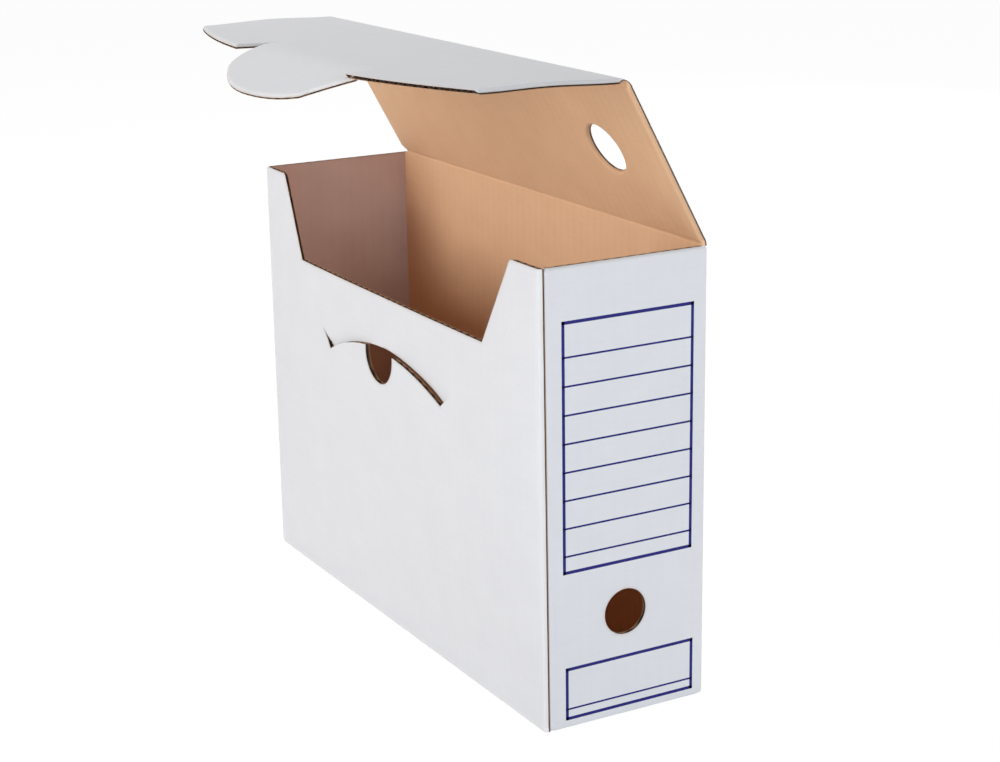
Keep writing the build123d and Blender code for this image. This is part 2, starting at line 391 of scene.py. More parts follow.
def spread(start: Sequence[float], end: Sequence[float], step: float) -> Points:
    """Points along a straight run, without its last, closer together near both ends.

    Args:
        start: First point.
        end: Point where the next run starts.
        step: Longest step.

    Returns:
        One row for each point.
    """
    a, b = np.asarray(start, float), np.asarray(end, float)
    length, gap = np.linalg.norm(b - a), STOCK.least_gap
    near = np.array([inset for inset in STOCK.edge_rows if inset < length / 2 - gap])
    even = np.linspace(0, length, max(1, math.ceil(length / step)) + 1)[1:-1]
    if len(near):
        even = even[(even > near[-1] + gap) & (even < length - near[-1] - gap)]
    places = np.sort(np.r_[0.0, near, even, length - near])
    return a + places[:, None] / length * (b - a)


def bow(centre: Sequence[float], radius: float, start: float, end: float, step: float) -> Points:
    """Points along an arc, without its last.

    Args:
        centre: Middle of the arc's circle.
        radius: Its radius.
        start: First angle, in degrees.
        end: Last angle, in degrees.
        step: Longest step along the arc.

    Returns:
        One row for each point.
    """
    a, b = math.radians(start), math.radians(end)
    count = max(LEAST_ARC_POINTS, math.ceil(abs(b - a) * radius / step))
    turn = a + np.arange(count) / count * (b - a)
    return np.asarray(centre, float) + radius * np.c_[np.cos(turn), np.sin(turn)]


class Outline:
    """Closed edge of a sheet, walked in runs of one kind each."""

    def __init__(self) -> None:
        """Starts with no runs."""
        self.points: Points = np.zeros((0, 2))
        self.lost: Points = np.zeros((0, 3))

    def run(self, points: Points, edge: Edge) -> "Outline":
        """Adds a run whose last point starts the next one.

        Args:
            points: Rows of the run.
            edge: How it was made.

        Returns:
            The outline itself.
        """
        self.points = np.r_[self.points, points]
        self.lost = np.r_[self.lost, np.tile(edge.value, (len(points), 1))]
        return self

    def line(
        self, start: Sequence[float], end: Sequence[float], edge: Edge, step: float = STOCK.cut_step
    ) -> "Outline":
        """Adds one straight run, up to the point where the next one starts."""
        return self.run(spread(start, end, step), edge)

    def through(self, corners: Sequence[tuple[Sequence[float], Edge]]) -> "Outline":
        """Adds straight runs from corner to corner and back to the first.

        Args:
            corners: Each corner with the kind of the run that leaves it.

        Returns:
            The outline itself.
        """
        for (start, edge), (end, _) in zip(corners, [*corners[1:], corners[0]]):
            self.line(start, end, edge, STOCK.side_step)
        return self

    def split(self, spacing: float) -> "Outline":
        """The same outline with a point wherever it crosses an upright line of a grid.

        Args:
            spacing: Distance between the grid's lines, which start at zero.

        Returns:
            A new outline.
        """
        rows, kinds = [], []
        for a, b, kind in zip(self.points, np.roll(self.points, -1, axis=0), self.lost):
            low, high = sorted((a[0], b[0]))
            lines = np.arange(math.ceil(low / spacing), math.floor(high / spacing) + 1) * spacing
            lines = lines[(lines > low + GRID_TOLERANCE) & (lines < high - GRID_TOLERANCE)]
            if b[0] < a[0]:
                lines = lines[::-1]
            shares = (lines - a[0]) / (b[0] - a[0]) if len(lines) else np.zeros(0)
            rows.append(np.r_[a[None], a + shares[:, None] * (b - a)])
            kinds.append(np.tile(kind, (len(rows[-1]), 1)))
        made = Outline()
        made.points, made.lost = np.concatenate(rows), np.concatenate(kinds)
        return made


def inside(points: Points, loops: Sequence[Outline]) -> Points:
    """Tells which points lie on the sheet.

    Args:
        points: One row for each point.
        loops: Outer outline and holes.

    Returns:
        True for each point inside an odd number of loops.
    """
    found = np.zeros(len(points), bool)
    for loop in loops:
        a, b = loop.points, np.roll(loop.points, -1, axis=0)
        rise = b[:, 1] - a[:, 1]
        lean = (b[:, 0] - a[:, 0]) / np.where(rise == 0, 1, rise)
        for start in range(0, len(points), POINTS_AT_ONCE):
            part = slice(start, start + POINTS_AT_ONCE)
            x, y = points[part].T[..., None]
            crossed = (a[:, 1] > y) != (b[:, 1] > y)
            left = x < a[:, 0] + (y - a[:, 1]) * lean
            found[part] ^= (crossed & left).sum(1) % 2 == 1
    return found


def edge_shape(points: Points, loops: Sequence[Outline]) -> tuple[Points, Points, Points]:
    """How near each point is to the sheet's cut edges.

    Args:
        points: One row for each point.
        loops: Outer outline and holes.

    Returns:
        Share of the thickness lost at the white face, share lost at the kraft face, and rubbing, at
        each point.
    """
    a = np.concatenate([loop.points for loop in loops])
    b = np.concatenate([np.roll(loop.points, -1, axis=0) for loop in loops])
    lost = np.concatenate([loop.lost for loop in loops])
    cut = lost[:, :2].any(1)
    a, b, lost = a[cut], b[cut], lost[cut]
    white, kraft, rub = np.zeros((3, len(points)))
    if not cut.any():
        return white, kraft, rub
    run = b - a
    square = (run**2).sum(1)
    for start in range(0, len(points), POINTS_AT_ONCE):
        part = slice(start, start + POINTS_AT_ONCE)
        here = points[part, None]
        share = np.clip(((here - a) * run).sum(2) / square, 0, 1)
        gap = np.linalg.norm(here - a - share[..., None] * run, axis=2)
        near = fade(gap, lost[:, 2])
        white[part], kraft[part] = (lost[:, 0] * near).max(1), (lost[:, 1] * near).max(1)
        rub[part] = np.exp(-gap.min(1) / STOCK.rub_reach)
    return white, kraft, rub


def fill(loops: Sequence[Outline], extra: Points) -> tuple[Points, Points]:
    """Divides a sheet into triangles.

    Args:
        loops: Outer outline and holes.
        extra: Points wanted inside.

    Returns:
        Corner points, and three corner numbers for each triangle, counted anticlockwise.
    """
    points = np.concatenate([loop.points for loop in loops])
    links, first = [], 0
    for loop in loops:
        count = len(loop.points)
        links += [(first + i, first + (i + 1) % count) for i in range(count)]
        first += count
    _, keep = np.unique(np.round(extra / STOCK.least_gap), axis=0, return_index=True)
    extra = extra[np.sort(keep)]
    points = np.r_[points, extra[inside(extra, loops)]]
    places = [Vector(p) for p in points]
    corners, _, faces, *_ = geometry.delaunay_2d_cdt(places, links, [], 0, FILL_TOLERANCE)
    rows = np.array([tuple(c) for c in corners])
    triangles = np.array([tuple(f) for f in faces])
    triangles = triangles[inside(rows[triangles].mean(1), loops)]
    p, q, r = (rows[triangles[:, i]] for i in range(3))
    area = (q[:, 0] - p[:, 0]) * (r[:, 1] - p[:, 1]) - (q[:, 1] - p[:, 1]) * (r[:, 0] - p[:, 0])
    triangles[area < 0] = triangles[area < 0][:, ::-1]
    return rows, triangles


def rim_edges(triangles: Points) -> list[tuple[int, int]]:
    """Finds the edges that only one triangle uses.

    Args:
        triangles: Three corner numbers for each triangle.

    Returns:
        Two corner numbers for each edge, in its triangle's direction.
    """
    seen: dict[tuple[int, int], tuple[int, int]] = {}
    for a, b, c in triangles:
        for edge in ((a, b), (b, c), (c, a)):
            key = (min(edge), max(edge))
            if key in seen:
                del seen[key]
            else:
                seen[key] = edge
    return list(seen.values())


def new_object(name: str, data: Any) -> bpy.types.Object:
    """Puts an object in the scene, at the origin.

    Args:
        name: Its name.
        data: Its mesh, light or camera.

    Returns:
        The object.
    """
    made = bpy.data.objects.new(name, data)
    bpy.context.scene.collection.objects.link(made)
    return made


def move_corners(mesh: bpy.types.Mesh, place: Callable[[Points], Points]) -> None:
    """Moves a mesh's corners.

    Args:
        mesh: Mesh in metres.
        place: Turns old places to new ones, in millimetres.
    """
    flat = np.zeros(len(mesh.vertices) * 3, np.float32)
    mesh.vertices.foreach_get("co", flat)
    placed = place(flat.reshape(-1, 3).astype(float) / MM)
    mesh.vertices.foreach_set("co", (placed * MM).astype(np.float32).ravel())


def write_piece(
    name: str,
    points: Points,
    faces: Sequence[Sequence[int]],
    finishes: Sequence[Finish],
    kinds: Sequence[Finish],
    board: Points,
    rim: Points,
) -> bpy.types.Object:
    """Writes a mesh object at the origin.

    Args:
        name: Piece's name.
        points: Corners in millimetres.
        faces: Corner numbers of each face.
        finishes: Its finishes, the main one first.
        kinds: Finish of each face.
        board: Place of each corner on the board, in millimetres, across and along the flutes.
        rim: Rubbing of each corner.

    Returns:
        The object.
    """
    mesh = bpy.data.meshes.new(name)
    mesh.from_pydata((np.asarray(points) * MM).tolist(), [], [tuple(int(i) for i in f) for f in faces])
    for finish in finishes:
        mesh.materials.append(finish.material)
    mesh.polygons.foreach_set("material_index", [finishes.index(kind) for kind in kinds])
    corner = np.zeros(len(mesh.loops), np.int32)
    mesh.loops.foreach_get("vertex_index", corner)
    mesh.uv_layers.new(name="board").data.foreach_set("uv", (board[corner] * MM).astype(np.float32).ravel())
    mesh.attributes.new("rim", "FLOAT", "POINT").data.foreach_set("value", rim.astype(np.float32))
    mesh.polygons.foreach_set("use_smooth", np.ones(len(mesh.polygons), bool))
    mesh.set_sharp_from_angle(angle=math.radians(STOCK.sharp_angle))
    mesh.update()
    piece = new_object(name, mesh)
    return piece


@dataclass(frozen=True)
class BoardPlane:
    """Plane at half the board's thickness: across the flutes, along them, and out of the white side."""

    origin: Place
    across: Place
    out: Place

    @property
    def along(self) -> Points:
        """Direction of the flutes."""
        return np.cross(self.out, self.across)

    def place(self, u: Any, v: Any, w: Any) -> Points:
        """Turns places on the board to places in the box.

        Args:
            u: Across the flutes.
            v: Along the flutes.
            w: Out of the white side.

        Returns:
            One row for each place.
        """
        u, v, w = np.broadcast_arrays(np.asarray(u, float), np.asarray(v, float), np.asarray(w, float))
        return (
            np.asarray(self.origin)
            + u[..., None] * np.asarray(self.across, float)
            + v[..., None] * self.along
            + w[..., None] * np.asarray(self.out, float)
        )


class ShapeTree:
    """Geometry tree with named inputs, for what repeats on the box."""

    def __init__(self, name: str, sizes: Sequence[str]) -> None:
        """Starts the tree.

        Args:
            name: Its name.
            sizes: Names of its float inputs, which a material follows.
        """
        self.tree = bpy.data.node_groups.new(name, "GeometryNodeTree")
        sockets = self.tree.interface
        sockets.new_socket("Geometry", in_out="INPUT", socket_type="NodeSocketGeometry")
        sockets.new_socket("Geometry", in_out="OUTPUT", socket_type="NodeSocketGeometry")
        kinds = {size: "NodeSocketFloat" for size in sizes} | {"Material": "NodeSocketMaterial"}
        self.keys = {
            key: sockets.new_socket(key, in_out="INPUT", socket_type=kind).identifier
            for key, kind in kinds.items()
        }
        self.inputs = add_node(self.tree, "NodeGroupInput").outputs

    def join(self, shapes: Sequence[Any]) -> Any:
        """Joins shapes.

        Args:
            shapes: Their sockets, in order.

        Returns:
            Output socket.
        """
        both = add_node(self.tree, "GeometryNodeJoinGeometry")
        for shape in shapes:
            self.tree.links.new(shape, both.inputs[0])
        return both.outputs[0]

    def close(self, shape: Any) -> None:
        """Realizes the shape, gives it the material input and hands it out.

        Args:
            shape: Its socket.
        """
        real = add_node(self.tree, "GeometryNodeRealizeInstances", {0: shape}).outputs[0]
        inputs = {"Geometry": real, "Material": self.inputs["Material"]}
        dressed = add_node(self.tree, "GeometryNodeSetMaterial", inputs).outputs[0]
        add_node(self.tree, "NodeGroupOutput", {0: dressed})

    def run(self, piece: bpy.types.Object, values: dict[str, Any]) -> bpy.types.Mesh:
        """Runs the tree on an object, and leaves the result there as a plain mesh.

        Args:
            piece: Object that carries the tree for this moment.
            values: Value for each named input.

        Returns:
            The object's new mesh.
        """
        modifier = piece.modifiers.new("shape", "NODES")
        modifier.node_group = self.tree
        for name, value in values.items():
            modifier[self.keys[name]] = value
        graph = bpy.context.evaluated_depsgraph_get()
        mesh = bpy.data.meshes.new_from_object(piece.evaluated_get(graph))
        piece.modifiers.remove(modifier)
        blank, piece.data = piece.data, mesh
        bpy.data.meshes.remove(blank)
        return mesh


class FluteTool(ShapeTree):
    """Presses a flat sheet into flutes and gives it its thickness."""

    def __init__(self) -> None:
        """Builds the tree once."""
        super().__init__("fluted_medium", ("Pitch", "Wave", "Thickness"))
        tree, thickness = self.tree, self.inputs["Thickness"]
        where = add_node(tree, "GeometryNodeInputPosition").outputs[0]
        across = add_node(tree, "ShaderNodeSeparateXYZ", {0: where}).outputs[0]
        share = add_node(tree, MATH, {0: across, 1: self.inputs["Pitch"]}, operation="DIVIDE").outputs[0]
        turn = add_node(tree, MATH, {0: share, 1: TURN}, operation="MULTIPLY").outputs[0]
        wave = add_node(tree, MATH, {0: turn}, operation="COSINE").outputs[0]
        height = add_node(tree, MATH, {0: self.inputs["Wave"], 1: 0.5}, operation="MULTIPLY").outputs[0]
        middle = add_node(tree, MATH, {0: thickness, 1: -0.5}, operation="MULTIPLY").outputs[0]
        lift = add_node(tree, MATH, {0: wave, 1: height, 2: middle}, operation="MULTIPLY_ADD").outputs[0]
        offset = add_node(tree, "ShaderNodeCombineXYZ", {2: lift}).outputs[0]
        moved = {"Geometry": self.inputs["Geometry"], "Offset": offset}
        pressed = add_node(tree, "GeometryNodeSetPosition", moved).outputs[0]
        raised = {"Mesh": pressed, "Offset Scale": thickness, "Individual": False}
        upper = add_node(tree, "GeometryNodeExtrudeMesh", raised).outputs[0]
        lower = add_node(tree, "GeometryNodeFlipFaces", {0: pressed}).outputs[0]
        both = {"Geometry": self.join((upper, lower)), "Distance": WELD}
        self.close(add_node(tree, "GeometryNodeMergeByDistance", both).outputs[0])

    def press(self, sheet: bpy.types.Object) -> bpy.types.Mesh:
        """Presses one flat sheet, which lies in its own X and Y with the flutes along Y.

        Args:
            sheet: Object with the flat sheet.

        Returns:
            The fluted sheet as a mesh.
        """
        room = STOCK.thickness - 2 * STOCK.liner - STOCK.medium
        values = {"Pitch": STOCK.flute_pitch * MM, "Wave": room * MM, "Thickness": STOCK.medium * MM}
        return self.run(sheet, values | {"Material": Finish.MEDIUM.material})


# ---------------------------------------------------------------- panels and folds


def flat_board(u: Points, v: Points) -> Points:
    """Warp of a panel that stays flat."""
    return np.zeros_like(u)


def span(loops: Sequence[Outline]) -> tuple[Points, Points]:
    """Lowest and highest places that the loops reach."""
    rows = np.concatenate([loop.points for loop in loops])
    return rows.min(0), rows.max(0)


@dataclass
class Panel:
    """One panel of the blank, in three plies."""

    name: str
    body: str
    plane: BoardPlane
    loops: list[Outline]
    warp: Warp = flat_board
    inner: Finish = Finish.KRAFT
    grid: float = 9.0
    row: float = 18.0

    def lifted(self, flat: Points) -> Points:
        """Places points of the flat board on the panel, with its worn edges and its warp.

        Args:
            flat: Place of each point across and along the flutes, and over the middle of the board.

        Returns:
            One row for each place.
        """
        white, kraft, _ = edge_shape(flat[:, :2], self.loops)
        u, v, w = flat.T
        height = w * (1 - white - kraft) + STOCK.half * (kraft - white)
        return self.plane.place(u, v, height + self.warp(u, v))

    def edge_points(self) -> list[Points]:
        """Rows of points beside the cut edges, where the board's wear needs them."""
        rings = []
        for loop in self.loops:
            ahead = np.roll(loop.points, -1, axis=0) - loop.points
            ahead /= np.linalg.norm(ahead, axis=1, keepdims=True)
            along = ahead + np.roll(ahead, 1, axis=0)
            inward = np.c_[-along[:, 1], along[:, 0]]
            inward /= np.maximum(np.linalg.norm(inward, axis=1, keepdims=True), LEAST_LENGTH)
            cut = loop.lost[:, :2].any(1)
            cut |= np.roll(cut, 1)
            for depth in STOCK.edge_rows:
                rings += [loop.points[cut] + inward[cut] * depth, loop.points[cut] - inward[cut] * depth]
        return rings

    def build_liners(self) -> list[bpy.types.Object]:
        """Builds both liners with their worn cut edges."""
        low, high = span(self.loops)
        steps = np.ceil((high - low) / self.grid).astype(int)
        across, along = np.meshgrid(*(np.linspace(a, b, n + 1)[1:-1] for a, b, n in zip(low, high, steps)))
        lattice = np.c_[across.ravel(), along.ravel()]
        rows, triangles = fill(self.loops, np.concatenate([*self.edge_points(), lattice]))
        rub = edge_shape(rows, self.loops)[2]
        count = len(rows)
        faces = [tuple(t) for t in triangles] + [tuple(t[::-1] + count) for t in triangles]
        faces += [(b, a, a + count, b + count) for a, b in rim_edges(triangles)]
        made = []
        for ply, finish, top in (
            ("outer_liner", Finish.WHITE, STOCK.half),
            ("inner_liner", self.inner, STOCK.liner - STOCK.half),
        ):
            levels = (top, top - STOCK.liner)
            points = np.concatenate([self.lifted(np.c_[rows, np.full(count, level)]) for level in levels])
            name, kinds, board = f"{self.name}_{ply}", [finish] * len(faces), np.r_[rows, rows]
            piece = write_piece(f"{name}_sheet", points, faces, [finish], kinds, board, np.r_[rub, rub])
            made.append(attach(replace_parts(piece, name), self.body))
        return made

    def build_flutes(self, tool: FluteTool) -> bpy.types.Object:
        """Builds the fluted medium, cut to the panel's outline.

        Args:
            tool: Geometry tree that presses the flutes.

        Returns:
            The medium.
        """
        spacing = STOCK.flute_pitch / STOCK.steps_per_flute
        loops = [loop.split(spacing) for loop in self.loops]
        low, high = span(loops)
        lines = np.arange(math.ceil(low[0] / spacing), math.floor(high[0] / spacing) + 1) * spacing
        count = max(2, math.ceil((high[1] - low[1]) / self.row))
        across, along = np.meshgrid(lines, np.linspace(low[1], high[1], count + 1)[1:-1])
        rows, triangles = fill(loops, np.c_[across.ravel(), along.ravel()])
        flat = bpy.data.meshes.new(f"{self.name}_flat")
        flat.from_pydata(np.c_[rows * MM, np.zeros(len(rows))].tolist(), [], triangles.tolist())
        piece = new_object(f"{self.name}_flutes", flat)
        mesh = tool.press(piece)
        move_corners(mesh, self.lifted)
        mesh.set_sharp_from_angle(angle=math.radians(STOCK.flute_sharp_angle))
        mesh.update()
        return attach(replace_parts(piece, f"{self.name}_fluting"), self.body)

    def build(self, tool: FluteTool) -> list[bpy.types.Object]:
        """Builds the two liners and, with the tool, the medium."""
        return [*self.build_liners(), self.build_flutes(tool)]


@dataclass
class SquareFold:
    """Square fold where the board is crushed: a white skin round a brown core, worn at its ends."""

    node: str
    corner: Place
    first: Place
    second: Place
    along: Place
    length: float
    run: float = STOCK.thickness
    drop: float = STOCK.thickness
    ends: tuple[float, float] = (0.0, 0.0)
    last: Edge = Edge.CREASE
    steps: int = 12
    plain_start: float = 6.0
    plain_step: float = 12.0
    turn_crowding: float = 0.5

    @staticmethod
    def bend(under: Points) -> Points:
        """Share of the run left at each share of the drop, for a fold with a nearly sharp outside."""
        return (1 - np.clip(under, 0, 1) ** STOCK.fold_squareness) ** (1 / STOCK.fold_squareness)

    def kept(self, stops: Points) -> Points:
        """How much of the fold its worn ends leave.

        Args:
            stops: Places along the fold.

        Returns:
            Share of the run and of the drop that is left at each.
        """
        start, end = self.ends
        rest = self.length - stops
        left = 1 - start * fade(stops, STOCK.edge_reach) - end * fade(rest, STOCK.edge_reach)
        thin, _, reach = self.last.value
        return np.c_[left * (1 - thin * fade(rest, reach)), left]

    def build(self) -> bpy.types.Object:
        """Builds the fold between its two panels."""
        under = np.sin(np.linspace(0, math.pi / 2, self.steps + 1)) ** self.turn_crowding
        outer, inner = (
            np.c_[self.bend(under) * (self.run - d), under * (self.drop - d)] for d in (0.0, STOCK.liner)
        )
        flat = np.r_[outer, inner, [[0.0, 0.0]]]
        axes = np.array([self.first, self.second], float)
        near = np.array([0.0, *STOCK.edge_rows])
        plain = np.arange(self.plain_start, self.length - self.plain_start, self.plain_step)
        stops = np.unique(np.r_[near, plain, self.length - near])
        layers = [
            np.asarray(self.corner) + (share * flat) @ axes + stop * np.asarray(self.along)
            for share, stop in zip(self.kept(stops), stops)
        ]
        size, n = len(flat), self.steps + 1
        seam = [0, n, 2 * n, 2 * n - 1, n - 1]
        faces, kinds = [], []
        for low in range(0, (len(stops) - 1) * size, size):
            high = low + size
            faces += [(low + i, low + i + 1, high + i + 1, high + i) for i in range(self.steps)]
            faces += [(low + b, low + a, high + a, high + b) for a, b in zip(seam, seam[1:])]
            kinds += [Finish.WHITE] * self.steps + [Finish.CRUSHED] * (len(seam) - 1)
        for i in range(self.steps):
            for base, way in ((0, 1), ((len(stops) - 1) * size, -1)):
                skin = [base + i, base + n + i, base + n + i + 1, base + i + 1]
                core = [base + n + i, base + 2 * n, base + n + i + 1]
                faces += [skin[::way], core[::way]]
                kinds += [Finish.WHITE, Finish.CRUSHED]
        if np.dot(np.cross(self.first, self.second), self.along) < 0:
            faces = [f[::-1] for f in faces]
        points = np.concatenate(layers)
        board = np.concatenate([np.c_[flat.sum(1), np.full(size, stop)] for stop in stops])
        finishes = [Finish.WHITE, Finish.CRUSHED]
        piece = write_piece(f"{self.node}_fold", points, faces, finishes, kinds, board, np.zeros(len(points)))
        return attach(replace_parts(piece, self.node), "box")


@dataclass
class TurningFold:
    """Fold that turns: white skin outside and creased kraft skin inside, curved from panel to panel."""

    node: str
    parent: BoardPlane
    axis: float
    child: BoardPlane
    reach: float
    half_width: float
    bodies: tuple[str, str]
    ends: tuple[Edge, Edge]
    middle: float = 0.0
    groove: float = 0.4
    steps: int = 12
    plain_step: float = 6.0
    wear_lag: int = 3

    def skins(self) -> tuple[Points, Points, Points]:
        """Share of the turn, and the white and kraft skins' cross-sections at the fold's middle."""
        normals = [np.asarray(plane.out, float) for plane in (self.parent, self.child)]
        angle = math.acos(np.clip(np.dot(*normals), -1, 1))
        radius = self.reach / math.tan(angle / 2)
        centre = self.parent.place(0, self.axis - self.reach, -radius)
        share = np.linspace(0, 1, self.steps + 1)[:, None]
        turned = np.sin((1 - share) * angle) * normals[0] + np.sin(share * angle) * normals[1]
        turned = turned / math.sin(angle)
        dent = self.groove * np.sin(np.pi * share)
        return share, centre + (radius + STOCK.half) * turned, centre + (radius - STOCK.half + dent) * turned

    def build(self) -> bpy.types.Object:
        """Builds the fold with its worn ends, in place between its two panels."""
        share, white, kraft = self.skins()
        skin, size = len(white), 2 * len(white)
        plain = np.arange(self.plain_step, self.half_width, self.plain_step)
        inset = np.r_[0.0, STOCK.edge_rows, plain]
        stops = np.unique(np.r_[inset - self.half_width, self.half_width - inset])
        across = np.asarray(self.parent.across, float)
        first, last = (np.array(edge.value[:2]) for edge in self.ends)
        through = white - kraft
        layers = []
        for stop in stops:
            wear = first + share**self.wear_lag * (last - first)
            lost = fade(self.half_width - abs(stop), STOCK.edge_reach) * wear
            outer, inner = white - through * lost[:, :1], kraft + through * lost[:, 1:]
            layers.append(np.r_[outer, inner[::-1]] + (self.middle + stop) * across)
        points = np.concatenate(layers)
        ring = np.r_[white, kraft[::-1]]
        path = np.r_[0, np.cumsum(np.linalg.norm(np.diff(ring, axis=0), axis=1))]
        board = np.concatenate([np.c_[np.full(size, self.middle + stop), path] for stop in stops])
        top = len(points) - size
        faces, kinds = [], []
        for low in range(0, top, size):
            high = low + size
            for i in range(size):
                j = (i + 1) % size
                faces.append((low + i, high + i, high + j, low + j))
                side = Finish.WHITE if j < skin else Finish.KRAFT
                kinds.append(Finish.CRUSHED if j in (0, skin) else side)
        for i in range(skin - 1):
            quad = (i, i + 1, size - 2 - i, size - 1 - i)
            faces += [quad, tuple(top + k for k in reversed(quad))]
            kinds += [Finish.MEDIUM] * 2
        finishes = [Finish.WHITE, Finish.KRAFT, Finish.CRUSHED, Finish.MEDIUM]
        piece = write_piece(f"{self.node}_fold", points, faces, finishes, kinds, board, np.zeros(len(points)))
        start = self.parent.place(0, self.axis - self.reach, 0)
        end = self.child.place(0, self.reach, 0)
        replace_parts(piece, self.node)
        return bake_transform(piece)


# ---------------------------------------------------------------- the box


@dataclass
class BoxBody:
    """Walls, glue seam and folded bottom."""

    length: float = 361.0
    depth: float = 105.0
    height: float = 265.0
    front_grid: float = 7.0
    front_row: float = 12.0
    ear_top: float = 30.5
    ear_foot: float = 59.0
    ear_radius: float = 4.0
    notch_depth: float = 52.0
    slit_half: float = 75.0
    slit_rise: float = 17.0
    slit_foot: float = 164.6
    slit_kerf: float = 1.0
    slit_step: float = 0.5
    end_kerf: float = 0.25
    end_cut: tuple[float, float] = (12.0, 10.0)
    gape_start: float = -20.0
    gape_run: float = 30.0
    thumb_width: float = 36.0
    thumb_depth: float = 21.5
    thumb_step: float = 1.2
    spine_hole: tuple[float, float] = (27.0, 62.0)
    glue_flap_width: float = 30.0
    glue_flap_gap: float = 14.0
    glue_flap_taper: float = 8.0
    glue_film: float = 0.1
    flap_taper: float = 5.0
    end_flap_length: float = 48.0
    meeting_gap: float = 0.4
    clearance: float = 0.3
    belly: float = 5.4
    belly_height: float = 287.0
    belly_squareness: float = 4
    lower_lip: float = 3.6
    lower_lip_reach: tuple[float, float] = (48.0, 6.0)
    upper_lip: float = 2.0
    upper_lip_start: float = 25.0
    upper_lip_reach: float = 9.0
    splay: float = 1.4
    corner_foot: float = 0.5
    corner_wear: float = 0.15

    def __post_init__(self) -> None:
        """Works out the places that several panels share."""
        t = STOCK.thickness
        self.half_length, self.half_depth = self.length / 2, self.depth / 2
        self.inner_length, self.inner_depth = self.half_length - t, self.half_depth - t
        self.seam = -self.inner_depth + self.glue_film + t
        self.foot = 2 * t + self.glue_film
        self.slit_radius = self.slit_half**2 / (2 * self.slit_rise) + self.slit_rise / 2
        self.slit_centre = self.slit_foot + self.slit_rise - self.slit_radius

    def front_warp(self, x: Points, z: Points) -> Points:
        """How far the empty front wall bellies out, and its slit's two lips apart.

        Args:
            x: Along the wall.
            z: Height.

        Returns:
            Distance out of the white side.
        """
        middle = (self.half_length - self.inner_length) / 2
        off_middle = np.abs((x - middle) / (self.half_length - middle))
        wide = np.clip(1 - off_middle**self.belly_squareness, 0, 1)
        tall = np.sin(np.pi * np.clip((z - STOCK.thickness) / self.belly_height, 0, 1))
        above = np.hypot(x, z - self.slit_centre) - self.slit_radius
        run, rise = self.end_cut
        upper = (above > 0) & (np.abs(x) < self.slit_half + (z - self.slit_foot) * run / rise)
        below_reach, above_reach = self.lower_lip_reach
        proud = np.clip(1 - (x / (self.slit_half + run)) ** 2, 0, 1)
        proud = proud * fade(above, np.where(above > 0, above_reach, below_reach))
        tucked = ease(np.abs(x), self.upper_lip_start, self.slit_half) * fade(above, self.upper_lip_reach)
        lips = np.where(upper, -self.upper_lip * tucked, self.lower_lip * proud)
        splay = self.splay * np.clip((x + self.inner_length) / self.length, 0, 1) * z / self.height
        return self.belly * wide * tall + lips + splay

    def kerf(self, x: Any) -> Any:
        """Width of the lock slit, which gapes towards the spine."""
        gape = np.clip((x - self.gape_start) / self.gape_run, 0, 1)
        return self.end_kerf + (self.slit_kerf - self.end_kerf) * gape

    def slit_arch(self, start: float, end: float, side: int) -> Points:
        """Points along one edge of the slit's arch, without the last.

        Args:
            start: First angle, in degrees.
            end: Last angle.
            side: 1 for the upper edge, -1 for the lower.

        Returns:
            One row for each point.
        """
        count = max(LEAST_ARC_POINTS, math.ceil(abs(end - start) / self.slit_step))
        turn = np.radians(np.linspace(start, end, count + 1)[:-1])
        reach = self.slit_radius + side / 2 * self.kerf(self.slit_radius * np.cos(turn))
        return np.c_[np.cos(turn) * reach, np.sin(turn) * reach + self.slit_centre]

    def slit_corner(self, side: int, edge: int) -> Points:
        """Where an end cut meets the arch.

        Args:
            side: 1 for the end next to the spine, -1 for the far end.
            edge: 1 for the upper edges, -1 for the lower.

        Returns:
            The point.
        """
        run, rise = np.asarray(self.end_cut) / np.hypot(*self.end_cut)
        radius, fall = self.slit_radius, self.slit_foot - self.slit_centre
        square = np.array([[self.slit_half / radius, fall / radius], [-rise, run]])
        widths = np.array([self.kerf(side * self.slit_half), self.end_kerf])
        step = np.linalg.solve(square, widths * edge / 2)
        return np.array([side * (self.slit_half + step[0]), self.slit_foot + step[1]])

    def slit(self) -> Outline:
        """Arched lock slit with its two end cuts and the thumb cut-out."""
        run, rise = self.end_cut
        tip = np.array([self.slit_half + run, self.slit_foot + rise])
        far_tip = tip * (-1, 1)
        thumb = self.thumb_width / 2
        thumb_z = self.slit_foot + self.slit_rise - self.thumb_depth + thumb
        reach, drop = (math.degrees(math.asin(half / self.slit_radius)) for half in (self.slit_half, thumb))
        top = 90.0  # angles run from the spine's side, over the top of the arch
        far, near = top - self.slit_step + reach, top + self.slit_step - reach
        lower_right = self.slit_arch(near, top - drop, -1)
        lower_left = self.slit_arch(top + drop, far, -1)
        corners = {(side, edge): self.slit_corner(side, edge) for side in (-1, 1) for edge in (-1, 1)}
        hole = Outline().line(far_tip, corners[-1, 1], Edge.CUT)
        hole.run(np.r_[corners[-1, 1][None], self.slit_arch(far, top, 1)], Edge.CREASE)
        hole.run(self.slit_arch(top, near, 1), Edge.CUT)
        hole.line(corners[1, 1], tip, Edge.CREASE)
        hole.line(tip, corners[1, -1], Edge.CREASE)
        hole.run(np.r_[corners[1, -1][None], lower_right], Edge.CUT)
        hole.line(self.slit_arch(top - drop, top, -1)[0], (thumb, thumb_z), Edge.CUT)
        hole.run(bow((0, thumb_z), thumb, 0, -180, self.thumb_step), Edge.CUT)
        hole.line((-thumb, thumb_z), lower_left[0], Edge.CUT)
        hole.run(lower_left, Edge.CREASE)
        return hole.line(corners[-1, -1], far_tip, Edge.CUT)

